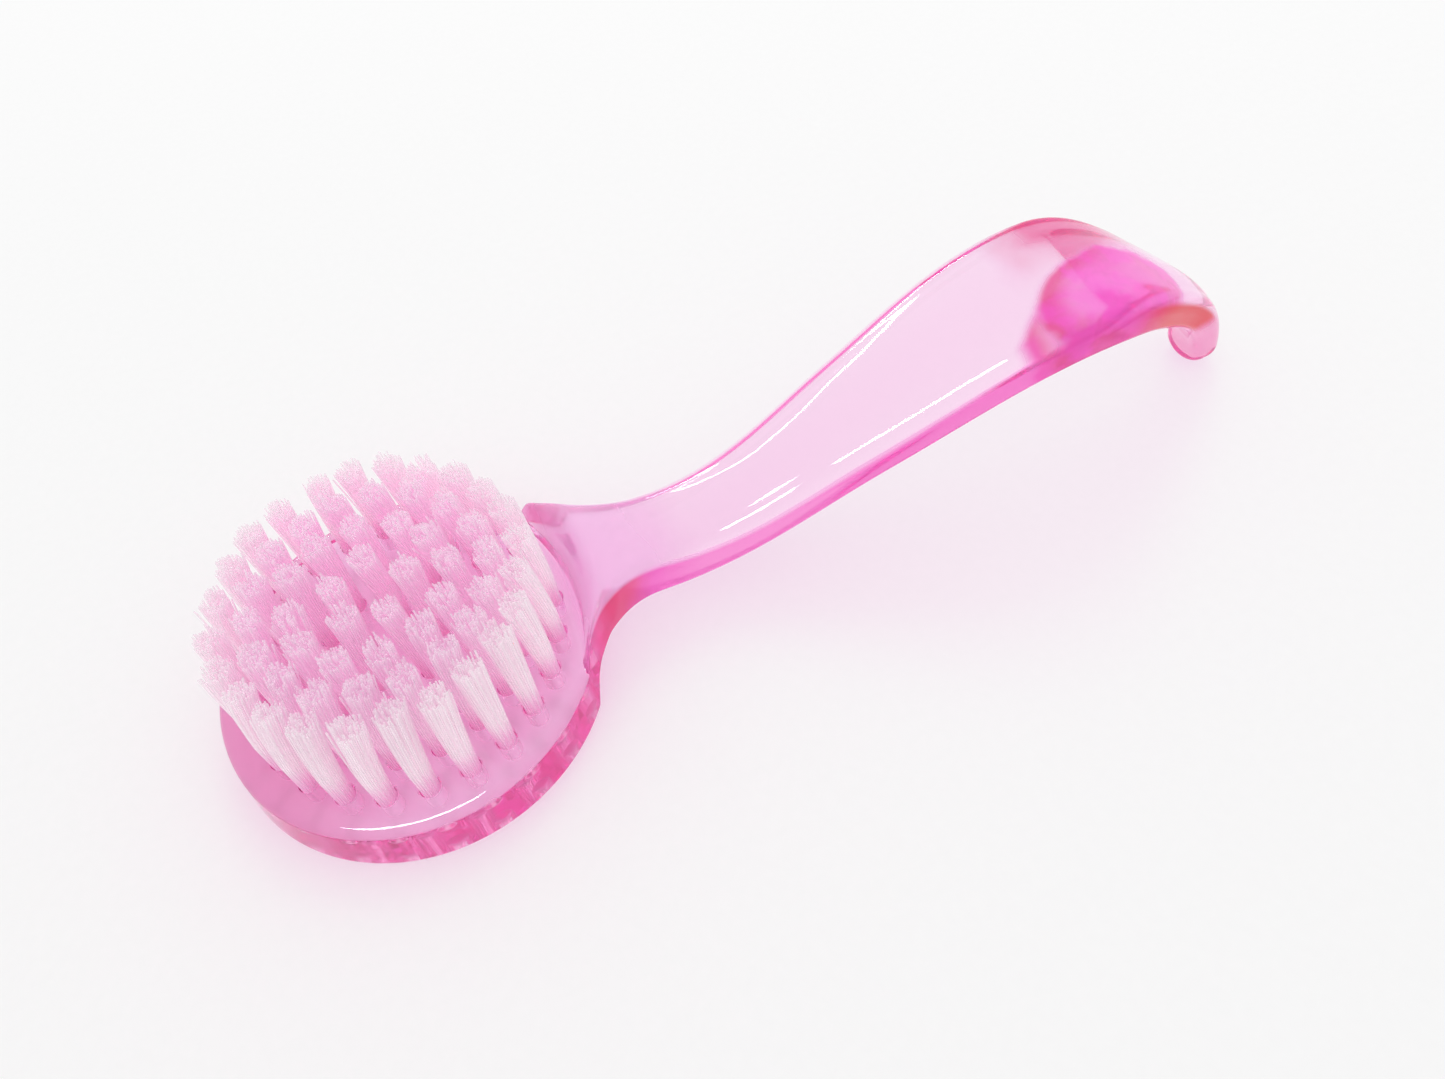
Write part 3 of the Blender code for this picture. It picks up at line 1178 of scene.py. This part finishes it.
    def anchors(self) -> Object:
        """The flat wires at the foot of every tuft.

        Returns:
            All of them, as one mesh.
        """
        wide = self.moulding.hole_diameter - 4 * self.filament_radius
        deep = self.moulding.hole_depth - self.wire_height / 2 - self.wire_thickness
        sides = (wide, self.wire_thickness, self.wire_height)
        pick()
        bpy.ops.mesh.primitive_cube_add(size=1.0, scale=sides)
        first = named("anchor_wires")
        bpy.ops.object.transform_apply(scale=True)
        finish(first, "BEVEL", width=self.wire_thickness / 5, segments=1)
        spots = [spot for ring in Ring for spot in self.spots(ring)]
        repeat(first, [(place - UP * deep, angle) for place, angle in spots])
        return named("anchor_wires")


# The studio


@dataclass(frozen=True)
class Lamp:
    """A soft lamp. One that is mirrored shows in what is glossy and lights nothing else."""

    name: str
    place: Triple
    sides: Pair
    watts: float
    mirrored: bool


@dataclass
class Studio:
    """A pale floor, soft lamps and the camera."""

    focal: float = 1000.0
    frame_width: float = 1445.0
    frame_height: float = 1079.0
    middle: Pair = (680.0, 500.0)
    sensor: float = 36.0
    nearest: float = 0.005
    eye: Triple = (0.01392, -0.05686, 0.08813)
    right: Triple = (0.91305, -0.39426, -0.10438)
    down: Triple = (-0.37447, -0.70899, -0.59758)
    ahead: Triple = (0.16160, 0.58471, -0.79499)
    floor_size: float = 6.0
    floor_drop: float = 0.00002
    floor_dark: Colour = (0.92, 0.92, 0.92)
    floor_pale: Colour = (0.94, 0.94, 0.94)
    floor_grain: float = 900.0
    floor_roughness: float = 0.6
    floor_glow: Colour = (0.93, 0.93, 0.93)
    floor_glow_share: float = 0.10
    sky: Colour = (1.0, 1.0, 1.0)
    sky_bounced_cut: float = 0.17
    aim: Triple = (0.04, 0.0, 0.0)
    lamps: tuple[Lamp, ...] = (
        Lamp("back_window", (0.50, 0.80, 1.00), (0.5, 0.5), 4.8, False),
        Lamp("top_window", (-0.165, 0.0, 0.60), (0.28, 0.14), 3.0, True),
        Lamp("far_strip", (-0.05, 0.50, 0.35), (0.50, 0.016), 0.45, True),
    )
    bounces: tuple[tuple[str, int], ...] = (
        ("max_bounces", 48),
        ("diffuse_bounces", 32),
        ("glossy_bounces", 32),
        ("transmission_bounces", 32),
        ("transparent_max_bounces", 64),
    )

    def camera(self) -> None:
        """The camera, at the photographed angle."""
        data = bpy.data.cameras.new("camera")
        data.sensor_width = self.sensor
        data.lens = self.focal / self.frame_width * data.sensor_width
        data.shift_x = (self.frame_width / 2 - self.middle[0]) / self.frame_width
        data.shift_y = (self.middle[1] - self.frame_height / 2) / self.frame_width
        data.clip_start = self.nearest
        made = bpy.data.objects.new("camera", data)
        bpy.context.scene.collection.objects.link(made)
        turn = Matrix((self.right, -Vector(self.down), -Vector(self.ahead))).transposed()
        made.matrix_world = Matrix.Translation(self.eye) @ turn.to_4x4()
        bpy.context.scene.camera = made

    def floor(self) -> None:
        """A wide pale sheet under the brush."""
        pick()
        bpy.ops.mesh.primitive_plane_add(size=self.floor_size, location=-UP * self.floor_drop)
        sheet = named("floor")
        bpy.ops.object.transform_apply(location=True)
        made, kit = new_material("pale_sheet")
        grain = kit.noise(kit.place(), self.floor_grain)
        paper = kit.add("ShaderNodeBsdfPrincipled", {
            "Base Color": kit.blend(grain, self.floor_dark, self.floor_pale),
            "Roughness": self.floor_roughness,
            "Specular IOR Level": 0.0,
        })
        white = kit.add("ShaderNodeEmission", {"Color": self.floor_glow})
        mirrored = kit.light_path("Is Transmission Ray") + kit.light_path("Is Glossy Ray")
        seen = mirrored * self.floor_glow_share
        both = kit.add("ShaderNodeMixShader", {0: seen, 1: paper, 2: white})
        kit.add("ShaderNodeOutputMaterial", {"Surface": both})
        sheet.data.materials.append(made)

    def hang(self, lamp: Lamp) -> None:
        """Hangs one lamp, aimed at the brush.

        Args:
            lamp: The lamp.
        """
        data = bpy.data.lights.new(lamp.name, "AREA")
        data.shape = "RECTANGLE"
        data.size, data.size_y = lamp.sides
        data.energy = lamp.watts
        made = bpy.data.objects.new(lamp.name, data)
        bpy.context.scene.collection.objects.link(made)
        made.location = lamp.place
        away = (Vector(lamp.place) - Vector(self.aim)).normalized()
        side = (Vector((1.0, 0.0, 0.0)) - away * away.x).normalized()
        turn = Matrix((side, away.cross(side), away)).transposed()
        made.rotation_mode = "QUATERNION"
        made.rotation_quaternion = turn.to_quaternion()
        made.visible_camera = made.visible_transmission = False
        made.visible_glossy = lamp.mirrored
        made.visible_diffuse = not lamp.mirrored
        if lamp.mirrored:
            data.use_nodes = True
            kit = Shading(data.node_tree)
            glow = kit.add("ShaderNodeEmission", {"Strength": 1 - kit.bounced()})
            kit.add("ShaderNodeOutputLight", {"Surface": glow})

    def light(self) -> None:
        """An even pale sky, and the lamps that give the highlights."""
        world = bpy.data.worlds.new("studio")
        world.use_nodes = True
        bpy.context.scene.world = world
        kit = Shading(world.node_tree)
        strength = 1 - kit.bounced() * self.sky_bounced_cut
        sky = kit.add("ShaderNodeBackground", {"Color": self.sky, "Strength": strength})
        kit.add("ShaderNodeOutputWorld", {"Surface": sky})
        for lamp in self.lamps:
            self.hang(lamp)

    def build(self) -> None:
        """Sets the studio up."""
        scene = bpy.context.scene
        scene.view_settings.view_transform = "Standard"
        scene.cycles.blur_glossy = 0.0
        for kind, count in self.bounces:
            setattr(scene.cycles, kind, count)
        self.camera()
        self.floor()
        self.light()


def main() -> None:
    """Builds the brush and the studio round the frame."""
    logging.basicConfig(level=logging.INFO, format="%(name)s: %(message)s")
    Studio().build()
    moulding = Moulding()
    bristles = Bristles(moulding)
    spots = [spot for ring in Ring for spot in bristles.spots(ring)]
    plastic = ClearPlastic().material()
    nylon = PaleNylon().material()
    wire = PlatedWire().material()

    settle(moulding.build(spots), plastic, "root", ["head_and_handle"])
    for ring in Ring:
        settle(bristles.build(ring), nylon, "root", ring.nodes)
    settle(bristles.anchors(), wire, "root", [])


if __name__ == "__main__":
    main()
